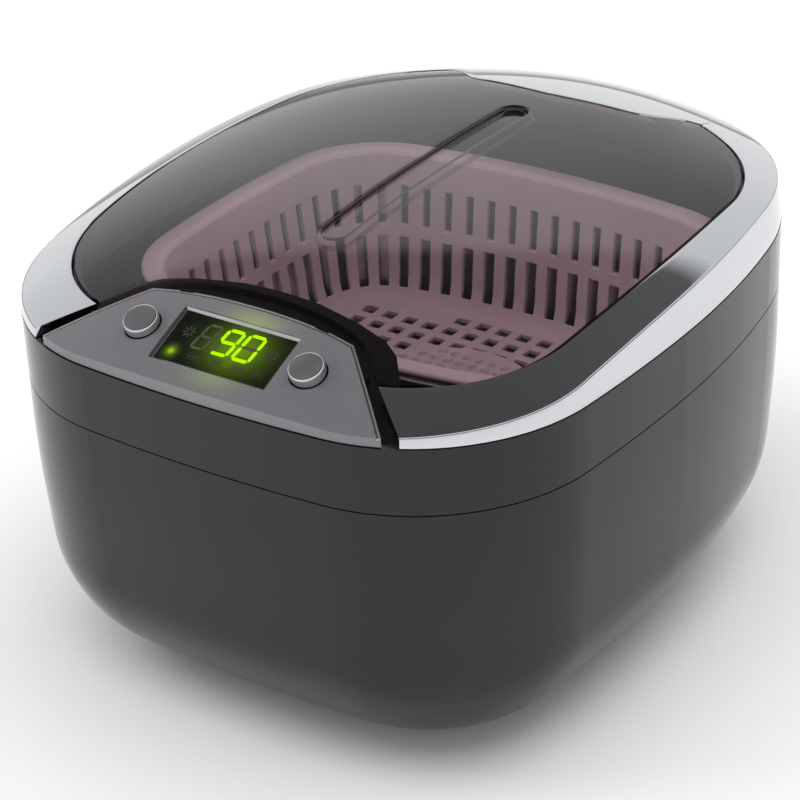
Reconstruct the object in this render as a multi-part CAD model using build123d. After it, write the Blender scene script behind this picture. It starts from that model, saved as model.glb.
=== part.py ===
from build123d import *
import math
import os

# Countertop ultrasonic cleaner. Millimetres, +Z up, front (control panel) faces -Y.
# Origin: centre of the footprint, on the table under the rubber feet.

# ------------------------------------------------------------------ driving dimensions
LIFT = 1.5            # the feet hold the housing this far off the table
WIDTH, LENGTH = 175.0, 209.0

# plan outlines: half width, y of the widest point, front y, rear y, then the radii of
# front arc, front corner, front half of the side, rear half of the side, rear corner, rear arc
BASE = (WIDTH / 2, -10.0, -LENGTH / 2, LENGTH / 2, 476.3, 52.2, 494.7, 292.1, 72.0, 403.3)
WIN = (76.7, -12.2, -90.3, 82.0, 384.7, 45.2, 388.4, 497.7, 48.5, 461.8)
TANK = (73.0, 2.0, -54.5, 66.5, 300.0, 30.0, 350.0, 350.0, 30.0, 300.0)

Z_SEAM = 82.25        # joint between lower and upper housing
Z_BAND = 101.07       # top of the upper housing's band, under the lid
WALL = 2.5
Z_DECK = 93.5         # deck round the tank
TANK_DEPTH = 58.0
TANK_T = 1.0

# height of the lid's outer surface: an even polynomial in x, general in y
DOME0 = (125.161, 0.264, -5.588, 7.539, -9.575, -4.472)
DOME2 = (-7.028, -2.25, -11.792, -4.76, 4.323)
DOME4 = (-6.713, 4.375, 7.081, -0.356)

WINDOW_T = 2.2
TRIM_T = 2.0
PLATE_T = 1.8

# control panel plane: origin, tilt towards the front
PANEL_O = (0.0, -90.3, 110.32)
PANEL_TILT = 22.88
DISP_X, DISP_V0, DISP_V1 = 18.3, -8.9, 9.3
BUTTON_X, BUTTON_R, BUTTON_H, BUTTON_TRAVEL = 26.1, 4.8, 2.9, 0.8

# hinge
HINGE_Y, HINGE_Z, HINGE_R = 99.5, 101.4, 4.6
HINGE_SWEEP_R = 6.4
HINGE_HALF = 22.0      # half length of the lid's barrel
EAR_HALF = 37.6        # outer end of the housing's ears
PIN_R = 1.5

os.makedirs("parts", exist_ok=True)


# ------------------------------------------------------------------ helpers
def dome_z(x, y):
    X = (x / 87.5) ** 2
    Y = y / 100.0
    return (sum(c * Y ** j for j, c in enumerate(DOME0))
            + X * sum(c * Y ** j for j, c in enumerate(DOME2))
            + X * X * sum(c * Y ** j for j, c in enumerate(DOME4)))


def _meet(a, ra, b, rb):
    dx, dy = b[0] - a[0], b[1] - a[1]
    d = math.hypot(dx, dy)
    k = (ra * ra - rb * rb + d * d) / (2 * d)
    h = math.sqrt(max(ra * ra - k * k, 0.0))
    mx, my = a[0] + k * dx / d, a[1] + k * dy / d
    return [(mx + h * dy / d, my - h * dx / d), (mx - h * dy / d, my + h * dx / d)]


def half_arcs(p, inset=0.0):
    """Right-hand half of a plan outline: (centre, radius, start, end) of five arcs, front to rear."""
    W, yw, yf, yr, rf, cf, sf, sr, cr, rr = p
    F, S = (0.0, yf + rf), (W - sf, yw)
    C = max((q for q in _meet(F, rf - cf, S, sf - cf) if q[1] < yw), key=lambda q: q[0])
    R, S2 = (0.0, yr - rr), (W - sr, yw)
    C2 = max((q for q in _meet(R, rr - cr, S2, sr - cr) if q[1] > yw), key=lambda q: q[0])

    def on(centre, through, radius):
        dx, dy = through[0] - centre[0], through[1] - centre[1]
        d = math.hypot(dx, dy)
        return (centre[0] + dx / d * radius, centre[1] + dy / d * radius)

    rf, cf, sf, sr, cr, rr = (v - inset for v in (rf, cf, sf, sr, cr, rr))
    a = (0.0, F[1] - rf)
    b = on(F, C, rf)
    c = on(S, C, sf)
    d = (S[0] + sf, yw)
    e = on(S2, C2, sr)
    f = on(R, C2, rr)
    g = (0.0, R[1] + rr)
    return [(F, rf, a, b), (C, cf, b, c), (S, sf, c, d), (S2, sr, d, e), (C2, cr, e, f), (R, rr, f, g)]


def _arc(centre, radius, p, q, z):
    mx, my = (p[0] + q[0]) / 2 - centre[0], (p[1] + q[1]) / 2 - centre[1]
    d = math.hypot(mx, my)
    mid = (centre[0] + mx / d * radius, centre[1] + my / d * radius)
    return ThreePointArc((p[0], p[1], z), (mid[0], mid[1], z), (q[0], q[1], z))


def outline(p, inset=0.0, z=0.0):
    """Closed wire of ten tangent arcs, symmetric about x = 0."""
    h = half_arcs(p, inset)
    F, rf, a, b = h[0]
    edges = [ThreePointArc((-b[0], b[1], z), (0, a[1], z), (b[0], b[1], z))]
    for cen, r, s, e in h[1:5]:
        edges.append(_arc(cen, r, s, e, z))
    R, rr, f, g = h[5]
    edges.append(ThreePointArc((f[0], f[1], z), (0, g[1], z), (-f[0], f[1], z)))
    for cen, r, s, e in reversed(h[1:5]):
        edges.append(_arc((-cen[0], cen[1]), r, (-e[0], e[1]), (-s[0], s[1]), z))
    return Wire(edges)


def prism(p, inset, z0, z1):
    return Solid.extrude(Face(outline(p, inset, z0)), Vector(0, 0, z1 - z0))


def ring(p, inset0, inset1, z0, z1):
    return prism(p, inset0, z0, z1) - prism(p, inset1, z0 - 1, z1 + 1)


def lofted(p, sections, ruled=False):
    return Solid.make_loft([outline(p, i, z) for z, i in sections], ruled)


def swept(p, path_inset, profile):
    """Carry a closed profile round a plan outline. profile(P) gives its edges, P(inset, z) a point on it."""
    cen, r, a, b = half_arcs(p, 0.0)[0]
    ang = math.atan2(b[1] - cen[1], -b[0] - cen[0])

    def P(inset, z):
        return (cen[0] + (r - inset) * math.cos(ang), cen[1] + (r - inset) * math.sin(ang), z)

    return sweep(Face(Wire(profile(P))), path=outline(p, path_inset, 0.0)).solids()[0]


def bowl(p, points, z_top):
    """Solid tub: the side profile `points` (inset, z), top to bottom, carried round the outline and filled."""
    di, zi = points[-1]
    core = di + 2.0

    def profile(P):
        return [Spline(*[P(i, z) for i, z in points]), Line(P(di, zi), P(core, zi)), Line(P(core, zi), P(core, z_top)),
                Line(P(core, z_top), P(points[0][0], z_top))]

    return swept(p, core, profile) + prism(p, core - 0.1, zi, z_top)


def column(face_or_wire, z0, z1):
    f = face_or_wire if isinstance(face_or_wire, Face) else Face(face_or_wire)
    return Solid.extrude(f.moved(Location((0, 0, z0))), Vector(0, 0, z1 - z0))


_nx, _ny = 17, 21
_grid = [[Vector(-98 + 196 * i / (_nx - 1), -114 + 228 * j / (_ny - 1),
                 dome_z(-98 + 196 * i / (_nx - 1), -114 + 228 * j / (_ny - 1)))
          for j in range(_ny)] for i in range(_nx)]
DOME_FACE = Face.make_surface_from_array_of_points(_grid, tol=0.003, min_deg=3, max_deg=6)


def slab(top, bottom):
    """Everything between the dome lowered by `top` and the dome lowered by `bottom`."""
    return Solid.extrude(DOME_FACE.moved(Location((0, 0, -top))), Vector(0, 0, -(bottom - top)))


def box(x0, x1, y0, y1, z0, z1):
    return Pos((x0 + x1) / 2, (y0 + y1) / 2, (z0 + z1) / 2) * Box(x1 - x0, y1 - y0, z1 - z0)


def cyl(x, y, z0, z1, r):
    return Pos(x, y, (z0 + z1) / 2) * Cylinder(r, z1 - z0)


def xcyl(x0, x1, y, z, r):
    return Pos((x0 + x1) / 2, y, z) * Rot(0, 90, 0) * Cylinder(r, abs(x1 - x0))


PANEL = Plane(origin=PANEL_O, x_dir=(1, 0, 0),
              z_dir=(0, -math.sin(math.radians(PANEL_TILT)), math.cos(math.radians(PANEL_TILT))))


def pbox(x0, x1, v0, v1, h0, h1):
    return PANEL.location * Pos((x0 + x1) / 2, (v0 + v1) / 2, (h0 + h1) / 2) * Box(x1 - x0, v1 - v0, h1 - h0)


def pcyl(x, v, h0, h1, r):
    return PANEL.location * Pos(x, v, (h0 + h1) / 2) * Cylinder(r, h1 - h0)


def polygon(points, grow=0.0, rounding=0.0):
    f = make_face(Polyline(*[(x, y, 0) for x, y in points], close=True))
    if rounding:
        f = fillet(f.vertices(), rounding)
    if grow:
        f = offset(f, amount=grow, kind=Kind.ARC)
    return f.faces()[0]


def sym(points):
    """Mirror a right-hand list of points, front to rear, into a closed polygon."""
    return points + [(-x, y) for x, y in reversed(points) if x > 1e-6]


def union(items):
    out = items[0]
    for s in items[1:]:
        out = out + s
    return out


def save(shape, name):
    solids = [s for s in shape.solids() if s.volume > 0.5]
    body = solids[0] if len(solids) == 1 else Compound(solids)
    body = body.moved(Location((0, 0, LIFT)))
    body.label = name
    export_step(body, f"parts/{name}.step")
    print(f"{name:24s} solids {len(solids):3d}  volume {sum(s.volume for s in solids):10.1f}")


# ------------------------------------------------------------------ plan shapes of the front
# control panel plate: convex rear edge, straight slanting sides, front follows the housing
PLATE_PTS = sym([(54.2, -100.2), (54.2, -99.6), (31.8, -78.7), (24.0, -77.6), (14.0, -76.95), (5.0, -76.7)])
PLATE = polygon([(-54.2, -112), (54.2, -112)] + PLATE_PTS[1:len(PLATE_PTS) - 1], rounding=0)
# opening in the lid round the console
CUT_PTS = sym([(58.4, -101.5), (44.2, -86.2), (34.6, -77.6), (30.4, -75.9), (21.5, -73.7), (6.5, -72.1)])
CUT = polygon([(-66.0, -116), (66.0, -116)] + CUT_PTS)
# raised console of the upper housing, its rear part lies under the window
KON_PTS = sym([(62.0, -100.0), (46.5, -80.0), (40.5, -72.8), (35.5, -70.0), (26.0, -67.6), (12.0, -65.4), (4.0, -65.0)])
KON = polygon([(-62, -112), (62, -112)] + KON_PTS)
KON_IN = polygon([(-62, -112), (62, -112)] + KON_PTS, grow=-2.2)
# hinge cover: inner edge near the lid's crown, ends in a joint with each trim
COV_PTS = [(-42.5, 112), (-42.5, 88.4), (-42.8, 78.4), (-37.4, 76.5), (-32.4, 71.0), (-27.6, 67.5), (-19.4, 66.6),
           (-8.0, 65.0), (0.0, 64.4), (8.0, 65.0), (19.4, 66.6), (27.6, 67.5), (32.4, 71.0), (37.4, 76.5),
           (42.8, 78.4), (42.5, 88.4), (42.5, 112)]
COV = polygon(COV_PTS)
COV_GAP = polygon(COV_PTS, grow=0.15)

# ------------------------------------------------------------------ lower housing
T0 = 39.2      # height where the big bottom rounding starts


def tub_points(extra, floor, z_top=Z_SEAM):
    """Side profile of the tub: a slight inward draw, then a large rounding into the floor."""
    pts = []
    for z in (z_top, 68.0, 53.0, T0):
        t = max(0.0, (Z_SEAM - z) / (Z_SEAM - T0))
        pts.append((0.14 - 0.4 * t + 2.11 * t * t + extra, z))
    d = pts[-1][0]
    for a in (15, 30, 45, 60, 75, 90):
        c, s = math.cos(math.radians(a)), math.sin(math.radians(a))
        pts.append((d + (36.0 - extra) * (1 - c), T0 - (T0 - floor) * s))
    return pts


lower = bowl(BASE, tub_points(0.0, 0.0), Z_SEAM) - bowl(BASE, tub_points(WALL, WALL, Z_SEAM + 1.0), Z_SEAM + 1.0)

WELLS = [(sx * 56.0, -66.0) for sx in (-1, 1)] + [(sx * 60.0, 69.5) for sx in (-1, 1)]
FEET = [(sx * 36.0, sy) for sx in (-1, 1) for sy in (-52.0, 52.0)]
STANDOFFS = [(sx * 41.0, sy) for sx in (-1, 1) for sy in (-88.0, -64.5)]
Z_BOARD = 34.0

bosses = union([cyl(x, y, 2.0, 76.0, 4.9) for x, y in WELLS]
               + [cyl(x, y, 1.0, Z_BOARD, 3.2) for x, y in STANDOFFS])
bosses = bosses & bowl(BASE, tub_points(0.8, 0.8), Z_SEAM)
lower = lower + bosses
cuts = [cyl(x, y, -2, 64.0, 3.3) for x, y in WELLS] + [cyl(x, y, 60.0, 80.0, 1.7) for x, y in WELLS]
cuts += [cyl(x, y, Z_BOARD - 9, Z_BOARD + 2, 1.1) for x, y in STANDOFFS]
cuts += [cyl(x, y, -1.0, 1.5, 8.2) for x, y in FEET]
for i in range(9):
    for y in (-30.0, 30.0):
        cuts.append(box(-33.2 + 8 * i, -30.8 + 8 * i, y - 9, y + 9, -2, 6))
INLET_Z = 36.0
cuts.append(box(-11.2, 11.2, 90, 112, INLET_Z - 7.2, INLET_Z + 7.2))
lower = lower - union([c for c in cuts[:8]]) - Compound(cuts[8:])
save(lower, "lower_housing")

# ------------------------------------------------------------------ upper housing
band = lofted(BASE, [(Z_SEAM + 0.35, 0.14), (Z_BAND, 0.0)], True) - prism(BASE, WALL, 70, 110)
tongue = ring(BASE, 2.9, 4.4, Z_SEAM - 5.0, Z_SEAM + 6.0)
collar = ring(BASE, 2.3, 4.4, Z_SEAM + 1.5, Z_SEAM + 6.0)
deck = prism(BASE, 1.0, Z_DECK - 2.5, Z_DECK) - prism(TANK, -1.5, 80, 110)
console = (column(KON, Z_DECK - 2.5, 130) & prism(BASE, 2.25, 80, 130) & slab(4.2, 60))
cavity = (column(KON_IN, 70, 130) & prism(BASE, 4.4, 60, 130) & slab(6.2, 70))
seat_top = column(offset(PLATE, amount=-0.1).faces()[0], 80, 130) & prism(BASE, 2.25, 80, 130) & slab(2.0, 7.0)
seat_in = column(offset(PLATE, amount=-2.6).faces()[0], 80, 130) & prism(BASE, 5.0, 80, 130) & slab(4.0, 8.0)
front_wall = (ring(BASE, 2.25, 4.4, Z_DECK - 2.5, 130) & slab(2.0, 60)) & box(-54, 54, -112, -90, 80, 130)
upper = band + tongue + collar + deck + console
upper = upper - cavity + seat_top - seat_in
# hinge trough, its floor block and the two ears
block = box(-EAR_HALF, EAR_HALF, 90.0, 108.0, 91.0, Z_BAND) & prism(BASE, 0.25, 80, 120)
ears = (xcyl(-EAR_HALF, -HINGE_HALF - 0.3, HINGE_Y, HINGE_Z, HINGE_R)
        + xcyl(HINGE_HALF + 0.3, EAR_HALF, HINGE_Y, HINGE_Z, HINGE_R)) & prism(BASE, 0.25, 80, 120)
upper = upper + block + ears
upper = upper - xcyl(-HINGE_HALF - 0.3, HINGE_HALF + 0.3, HINGE_Y, HINGE_Z, HINGE_R + 0.35)
upper = upper - box(-HINGE_HALF - 0.3, HINGE_HALF + 0.3, HINGE_Y - 2, 112, HINGE_Z - 0.6, 112)
upper = upper - xcyl(-EAR_HALF + 7.0, EAR_HALF - 7.0, HINGE_Y, HINGE_Z, PIN_R)
# openings in the console top for display and buttons
upper = upper - pbox(-19.6, 19.6, -10.2, 10.6, -12, 4)
upper = upper - pcyl(-BUTTON_X, 0, -12, 4, 6.7) - pcyl(BUTTON_X, 0, -12, 4, 6.7)
# posts that carry the display board
POSTS = [(sx * 36.5, v) for sx in (-1, 1) for v in (-4.5, 5.5)]
posts = union([pcyl(x, v, -11.4, -1.0, 2.6) for x, v in POSTS]) & slab(2.6, 60)
upper = upper + posts - Compound([pcyl(x, v, -12, -6.0, 1.0) for x, v in POSTS])
# posts for the housing screws
hpost = union([cyl(x, y, 76.2, Z_DECK - 1.0, 4.4) for x, y in WELLS])
upper = upper + (hpost & prism(BASE, 2.9, 60, 110)) - Compound([cyl(x, y, 70, 88.0, 1.5) for x, y in WELLS])
save(upper, "upper_housing")

# ------------------------------------------------------------------ tank, gasket
Z_FLANGE = Z_DECK + 0.6
zb = Z_FLANGE + 0.8 - TANK_DEPTH


def tank_points(extra, z_top):
    pts = [(-extra, z_top), (1.3 - extra, 78.0), (2.6 - extra, 62.0), (4.6 - extra, zb + 12)]
    for a in (22.5, 45, 67.5, 90):
        c, s = math.cos(math.radians(a)), math.sin(math.radians(a))
        pts.append((4.6 - extra + (10.0 + extra) * (1 - c), zb + 12 - (12 + extra) * s))
    return pts


tank = bowl(TANK, tank_points(TANK_T, Z_FLANGE + 0.8), Z_FLANGE + 0.8) + prism(TANK, -5.0, Z_FLANGE, Z_FLANGE + 0.8)
tank = tank - bowl(TANK, tank_points(0.0, Z_FLANGE + 1.8), Z_FLANGE + 1.8)
save(tank, "tank")
save(ring(TANK, -4.6, -1.6, Z_DECK, Z_FLANGE), "tank_gasket")
Z_TB = zb - TANK_T      # underside of the tank's floor

# ------------------------------------------------------------------ transducer under the tank
ty = 6.0
z = Z_TB
front_mass = Pos(0, ty, z - 5) * Cone(17.5, 21.5, 10.0) - cyl(0, ty, z - 11, z - 2.5, 4.0)
save(front_mass, "transducer_front_mass")
z -= 10
tab = box(14, 24, ty - 3, ty + 3, 0, 0.4)
save((cyl(0, ty, z - 0.4, z, 17.0) + Pos(0, 0, z - 0.4) * tab - cyl(0, ty, z - 5, z + 1, 4.4))
     + (cyl(0, ty, z - 4.8, z - 4.4, 17.0) + Pos(0, 0, z - 4.8) * tab - cyl(0, ty, z - 9, z + 1, 4.4)), "electrode_rings")
save((cyl(0, ty, z - 4.4, z - 0.4, 17.0) - cyl(0, ty, z - 5, z + 1, 4.8))
     + (cyl(0, ty, z - 8.8, z - 4.8, 17.0) - cyl(0, ty, z - 10, z, 4.8)), "piezo_rings")
z -= 8.8
save(cyl(0, ty, z - 7.5, z, 16.5) - cyl(0, ty, z - 9, z + 1, 4.4), "transducer_back_mass")
bolt = cyl(0, ty, z - 7.5, Z_TB - 3.5, 4.0) + Pos(0, ty, z - 7.5 - 2.0) * extrude(RegularPolygon(6.5, 6), amount=4.0, both=False).moved(Location((0, 0, -2.0)))
save(bolt, "transducer_bolt")

# ------------------------------------------------------------------ driver electronics, in the front of the tub
bz = Z_BOARD
board = box(-47, 47, -93.0, -59.5, bz, bz + 1.6)
board = board - Compound([cyl(x, y, bz - 1, bz + 3, 1.6) for x, y in STANDOFFS])
save(board, "driver_board")
save(Compound([cyl(x, y, bz + 1.6, bz + 3.4, 2.8) + cyl(x, y, bz - 8, bz + 1.6, 1.1) for x, y in STANDOFFS]), "board_screws")
tr = box(-34, -10, -86, -66, bz + 1.6, bz + 24)
tr = tr + box(-31, -13, -89.5, -62.5, bz + 5, bz + 20)
save(tr, "transformer")
fins = box(12, 36, -76.5, -74.5, bz + 1.6, bz + 32)
for i in range(5):
    fins = fins + box(12 + 5.5 * i, 14 + 5.5 * i, -75, -64.5, bz + 1.6, bz + 32)
save(fins, "heat_sink")
save(Compound([box(14 + 12 * i, 23 + 12 * i, -81.2, -76.5, bz + 6, bz + 20) for i in range(2)]), "power_transistors")
save(Compound([cyl(1.5, -82, bz + 1.6, bz + 22, 6.0), cyl(1.5, -67, bz + 1.6, bz + 16, 5.0),
               cyl(22, -87, bz + 1.6, bz + 13, 3.6), cyl(32, -87, bz + 1.6, bz + 13, 3.6)]), "capacitors")

# ------------------------------------------------------------------ control panel
plate = column(PLATE, 80, 130) & prism(BASE, 0.45, 80, 130) & slab(0, PLATE_T)
skirt = ring(BASE, 0.45, 2.0, Z_BAND + 0.25, 130) & slab(0.4, 60) & box(-53.4, 53.4, -112, -90, 80, 130) & column(PLATE, 80, 130)
plate = plate + skirt
plate = plate - pbox(-DISP_X, DISP_X, DISP_V0, DISP_V1, -8, 6)
plate = plate - pcyl(-BUTTON_X, 0, -8, 6, BUTTON_R + 0.35) - pcyl(BUTTON_X, 0, -8, 6, BUTTON_R + 0.35)
for sx in (-1, 1):     # two small catches notched into the rear edge
    plate = plate - Pos(sx * 21.5, -76.6, 114) * Rot(0, 0, -sx * 7) * Box(4.4, 2.4, 12)
save(plate, "control_panel")

save(pbox(-18.1, 18.1, -8.7, 9.1, -1.7, -0.5), "display_lens")
save(pbox(-18.9, 18.9, -9.6, 10.0, -11.4, -1.7), "lcd_module")
db = pbox(-40, 40, -8.5, 10.5, -13.0, -11.4)
db = db - Compound([pcyl(x, v, -14, -10, 1.4) for x, v in POSTS])
save(db, "display_board")
save(Compound([pcyl(x, v, -14.6, -13.0, 2.2) + pcyl(x, v, -13.0, -7.0, 1.0) for x, v in POSTS]), "display_screws")
save(Compound([pbox(sx * BUTTON_X - 3, sx * BUTTON_X + 3, -3, 3, -11.4, -7.9) + pcyl(sx * BUTTON_X, 0, -7.9, -6.9, 1.7)
               for sx in (-1, 1)]), "tact_switches")
for sx, name in ((-1, "on_off_button"), (1, "set_button")):
    b = pcyl(sx * BUTTON_X, 0, -3.2, BUTTON_H, BUTTON_R)
    b = b + pcyl(sx * BUTTON_X, 0, -3.2, -2.2, 6.1) + pcyl(sx * BUTTON_X, 0, -6.05, -3.2, 2.4)
    save(b, name)

# ------------------------------------------------------------------ power inlet at the back
def oblong(w, h, y0, y1, z):
    body = box(-(w - h) / 2, (w - h) / 2, y0, y1, z - h / 2, z + h / 2)
    for sx in (-1, 1):
        body = body + Pos(sx * (w - h) / 2, (y0 + y1) / 2, z) * Rot(90, 0, 0) * Cylinder(h / 2, y1 - y0)
    return body


inlet = box(-10.9, 10.9, 84.0, 99.0, INLET_Z - 6.9, INLET_Z + 6.9) + box(-10.9, 10.9, 99.0, 102.6, INLET_Z - 6.9, INLET_Z + 6.9)
inlet = inlet - oblong(14.4, 7.6, 90.0, 106.0, INLET_Z)
pins = Compound([Pos(sx * 4.3, 92.6, INLET_Z) * Rot(90, 0, 0) * Cylinder(1.2, 15.2) for sx in (-1, 1)])
save(inlet - pins, "power_inlet")
save(pins, "inlet_pins")

# ------------------------------------------------------------------ feet and screws
save(Compound([cyl(x, y, -LIFT, 1.5, 8.0) for x, y in FEET]), "rubber_feet")
save(Compound([cyl(x, y, 61.2, 63.9, 2.9) + cyl(x, y, 63.9, 86.0, 1.5) for x, y in WELLS]), "housing_screws")
save(Compound([xcyl(sx * 10.0, sx * (EAR_HALF - 7.0), HINGE_Y, HINGE_Z, PIN_R) for sx in (-1, 1)]), "hinge_pins")

# ------------------------------------------------------------------ lid
Z_LID = Z_BAND + 0.25
hinge_zone = xcyl(-EAR_HALF - 0.3, EAR_HALF + 0.3, HINGE_Y, HINGE_Z, HINGE_SWEEP_R)
form = lofted(BASE, [(Z_LID, 0.0), (Z_LID + 32.0, 3.8)], True)
inner_form = lofted(BASE, [(Z_LID - 1, TRIM_T), (Z_LID + 33.0, TRIM_T + 3.8)], True)
skin = (form & slab(0, 60)) - (inner_form & slab(TRIM_T, 70)) - prism(WIN, 0.0, 60, 160)
skin = skin - column(CUT, 60, 160)
cover_col = column(COV, 60, 160)
trims = skin - column(COV_GAP, 60, 160)
for sx, name in ((1, "lid_trim_right"), (-1, "lid_trim_left")):
    save(trims & box(*( (1, 120) if sx > 0 else (-120, -1)), -120, 120, 60, 160), name)
cover = (form & slab(0, 60)) - (inner_form & slab(TRIM_T, 70))
cover = (cover & cover_col) - hinge_zone
save(cover, "hinge_cover")

WGAP = 0.9
win_col = prism(WIN, WGAP, 60, 160) - column(offset(CUT, amount=0.5).faces()[0], 60, 160) - column(offset(COV, amount=WGAP).faces()[0], 60, 160)
window = win_col & slab(0.25, 0.25 + WINDOW_T)
GROOVE_Y0, GROOVE_Y1, GROOVE_W = -44.5, 50.0, 7.6


def capsule(w, y0, y1, z0, z1):
    r = w / 2
    return box(-r, r, y0 + r, y1 - r, z0, z1) + cyl(0, y0 + r, z0, z1, r) + cyl(0, y1 - r, z0, z1, r)


window = window + (capsule(GROOVE_W + 4.4, GROOVE_Y0 - 2.2, GROOVE_Y1 + 2.2, 90, 140) & slab(1.0, 0.25 + WINDOW_T + 1.7))
window = window - (capsule(GROOVE_W, GROOVE_Y0, GROOVE_Y1, 90, 150) - slab(1.95, 60))
save(window, "lid_window")

# frame under trims and window: carries the hinge barrel
fr_out = lofted(BASE, [(Z_LID + 0.1, TRIM_T + 0.25), (Z_LID + 16.0, 4.15)], True)
frame_ring = (fr_out & slab(0.25 + WINDOW_T + 0.15, 70)) - prism(WIN, 2.4, 60, 160)
pocket = (lofted(BASE, [(Z_LID - 2, TRIM_T + 2.2), (Z_LID + 16.0, 6.2)], True) & slab(5.0, 80)) - prism(WIN, 0.4, 60, 160)
frame_ring = frame_ring - pocket - column(offset(KON, amount=1.2).faces()[0], 60, 160)
back_plate = (column(offset(COV, amount=-2.5).faces()[0], 60, 160) & prism(BASE, 6.0, 60, 160) & slab(2.75, 5.0)) - box(-60, 60, 97, 120, 60, 160)
frame_ring = frame_ring + (back_plate & prism(BASE, 6.5, 60, 160))
frame_ring = frame_ring - hinge_zone
barrel = xcyl(-HINGE_HALF, HINGE_HALF, HINGE_Y, HINGE_Z, HINGE_R) & prism(BASE, 0.25, 60, 160)
web = box(-HINGE_HALF, HINGE_HALF, 77.2, HINGE_Y, Z_LID + 0.3, Z_LID + 3.2)
ribs = union([box(x - 1, x + 1, 77.2, 94.0, Z_LID + 0.3, 125) for x in (-20.0, 0.0, 20.0)]) & slab(4.0, 60)
frame_ring = frame_ring + barrel + web + (ribs - hinge_zone) - xcyl(-HINGE_HALF - 1, HINGE_HALF + 1, HINGE_Y, HINGE_Z, PIN_R + 0.05)
save(frame_ring, "lid_frame")

# ------------------------------------------------------------------ basket
Z_RIM = Z_FLANGE + 0.9
FLOOR_Z = 48.5
BT = 1.8


def basket_points(extra, floor, z_top):
    pts = [(2.0 + extra, z_top), (3.0 + extra, 84.0), (4.4 + extra, 73.0), (6.0 + extra, 62.0)]
    for a in (22.5, 45, 67.5, 90):
        c, s = math.cos(math.radians(a)), math.sin(math.radians(a))
        pts.append((6.0 + extra + (10.8 - extra) * (1 - c), 62.0 - (62.0 - floor) * s))
    return pts


basket = bowl(TANK, basket_points(0.0, FLOOR_Z, Z_RIM + 1.5), Z_RIM + 1.5) + prism(TANK, -2.6, Z_RIM, Z_RIM + 1.5)
basket = basket - bowl(TANK, basket_points(BT, FLOOR_Z + BT, Z_RIM + 3.0), Z_RIM + 3.0)

slots = []
PITCH, SLOT_W = 7.3, 2.4
h = half_arcs(TANK, 4.5)
pts = []
for cen, r, s, e in h:
    a0, a1 = math.atan2(s[1] - cen[1], s[0] - cen[0]), math.atan2(e[1] - cen[1], e[0] - cen[0])
    n = max(2, int(abs(a1 - a0) * r / 0.25))
    pts += [(cen[0] + r * math.cos(a0 + (a1 - a0) * k / n), cen[1] + r * math.sin(a0 + (a1 - a0) * k / n),
             a0 + (a1 - a0) * k / n) for k in range(n)]
run, nxt = 0.0, 0.0
spots = []
for k in range(1, len(pts)):
    run += math.hypot(pts[k][0] - pts[k - 1][0], pts[k][1] - pts[k - 1][1])
    if run >= nxt:
        spots.append(pts[k])
        nxt += PITCH
for x, y, a in spots:
    for sx in ((1, -1) if x > 1.0 else (1,)):
        ang = math.degrees(a) if sx > 0 else 180 - math.degrees(a)
        for z0, z1 in ((57.1, 69.4), (73.2, 85.5)):
            slots.append(Pos(sx * x, y, (z0 + z1) / 2) * Rot(0, 0, ang) * Box(14.0, SLOT_W, z1 - z0))
basket = basket - Compound(slots)
holes = []
HP, HW = 7.2, 4.2
for i in range(-6, 7):
    for j in range(-5, 6):
        x, y = i * HP, 6.0 + j * HP
        if abs(x) > 44 and abs(y - 6) > 30:
            continue
        holes.append(Pos(x, y, FLOOR_Z + 1) * Box(HW, HW, 8))
basket = basket - Compound(holes)
save(basket, "basket")
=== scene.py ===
import math

import bmesh
import bpy
from mathutils import Matrix, Vector


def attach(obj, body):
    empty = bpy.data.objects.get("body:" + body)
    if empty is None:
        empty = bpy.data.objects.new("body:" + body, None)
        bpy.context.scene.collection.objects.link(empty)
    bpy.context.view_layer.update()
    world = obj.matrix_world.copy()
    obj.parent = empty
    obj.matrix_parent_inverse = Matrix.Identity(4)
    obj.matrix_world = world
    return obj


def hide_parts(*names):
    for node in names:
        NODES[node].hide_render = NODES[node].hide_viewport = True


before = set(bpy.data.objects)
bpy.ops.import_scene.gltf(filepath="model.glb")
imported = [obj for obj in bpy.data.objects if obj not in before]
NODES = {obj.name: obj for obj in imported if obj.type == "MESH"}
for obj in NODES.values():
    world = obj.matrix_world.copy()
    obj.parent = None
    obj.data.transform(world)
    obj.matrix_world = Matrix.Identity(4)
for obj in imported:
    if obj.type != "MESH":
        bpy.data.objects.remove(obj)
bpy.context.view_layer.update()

LIFT = 1.5
D2R = math.pi / 180.0

# ---------------------------------------------------------------- shape of the object, mm, as in the CAD
BASE = (87.5, -10.0, -104.5, 104.5, 476.3, 52.2, 494.7, 292.1, 72.0, 403.3)
WIN = (76.7, -12.2, -90.3, 82.0, 384.7, 45.2, 388.4, 497.7, 48.5, 461.8)
DOME0 = (125.161, 0.264, -5.588, 7.539, -9.575, -4.472)
DOME2 = (-7.028, -2.25, -11.792, -4.76, 4.323)
DOME4 = (-6.713, 4.375, 7.081, -0.356)
Z_SEAM, Z_BAND = 82.25, 101.07
Z_LID = Z_BAND + 0.25
PO, PT = (0.0, -90.3, 110.32), 22.88 * D2R


def dome_z(x, y):
    X, Y = (x / 87.5) ** 2, y / 100.0
    return (sum(c * Y ** j for j, c in enumerate(DOME0)) + X * sum(c * Y ** j for j, c in enumerate(DOME2))
            + X * X * sum(c * Y ** j for j, c in enumerate(DOME4)))


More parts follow.
